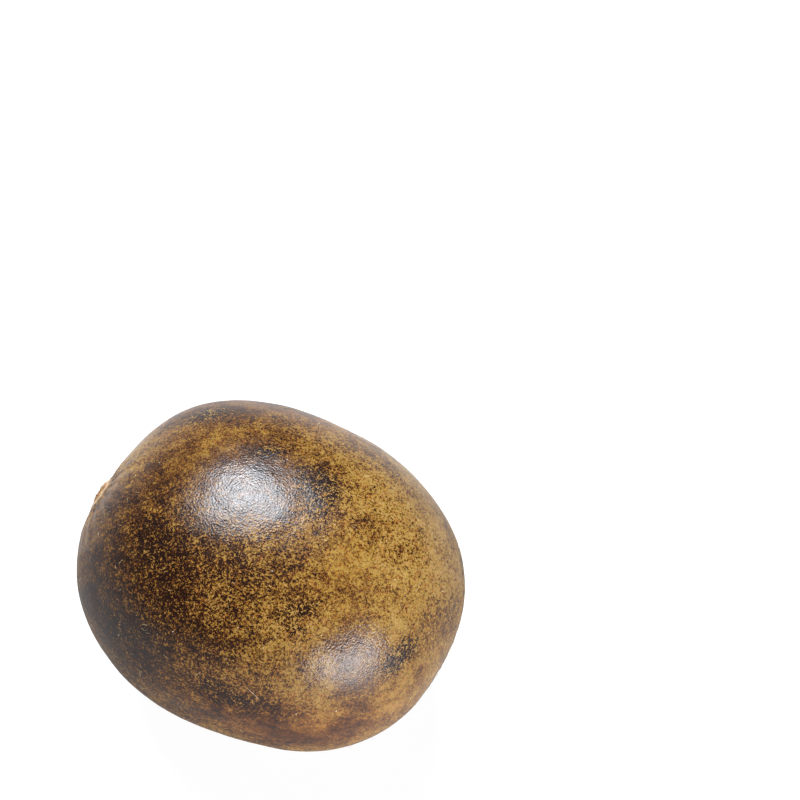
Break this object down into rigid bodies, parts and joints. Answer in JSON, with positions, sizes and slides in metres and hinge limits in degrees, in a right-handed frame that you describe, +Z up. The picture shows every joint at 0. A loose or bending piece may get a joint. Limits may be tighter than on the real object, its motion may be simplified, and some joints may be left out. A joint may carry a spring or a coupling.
{
  "type": "monk fruit",
  "caption": "Whole dried monk fruit: a hard, thin-skinned ball drawn out to an egg-like oval, lying on its side on a small flat spot, with a stalk scar and a flower scar.",
  "frame": {"origin": "under the middle of the fruit, on the surface that it lies on", "axes": "+X along the fruit's length from the stalk end to the flower end, +Z up"},
  "size_m": [0.0624, 0.053, 0.0519],
  "materials": {
    "rind": "hard thin dry rind, olive to golden brown, densely speckled, satin with a soft shine"
  },
  "bodies": {
    "root": {"fruit": "rind"}
  },
  "joints": []
}
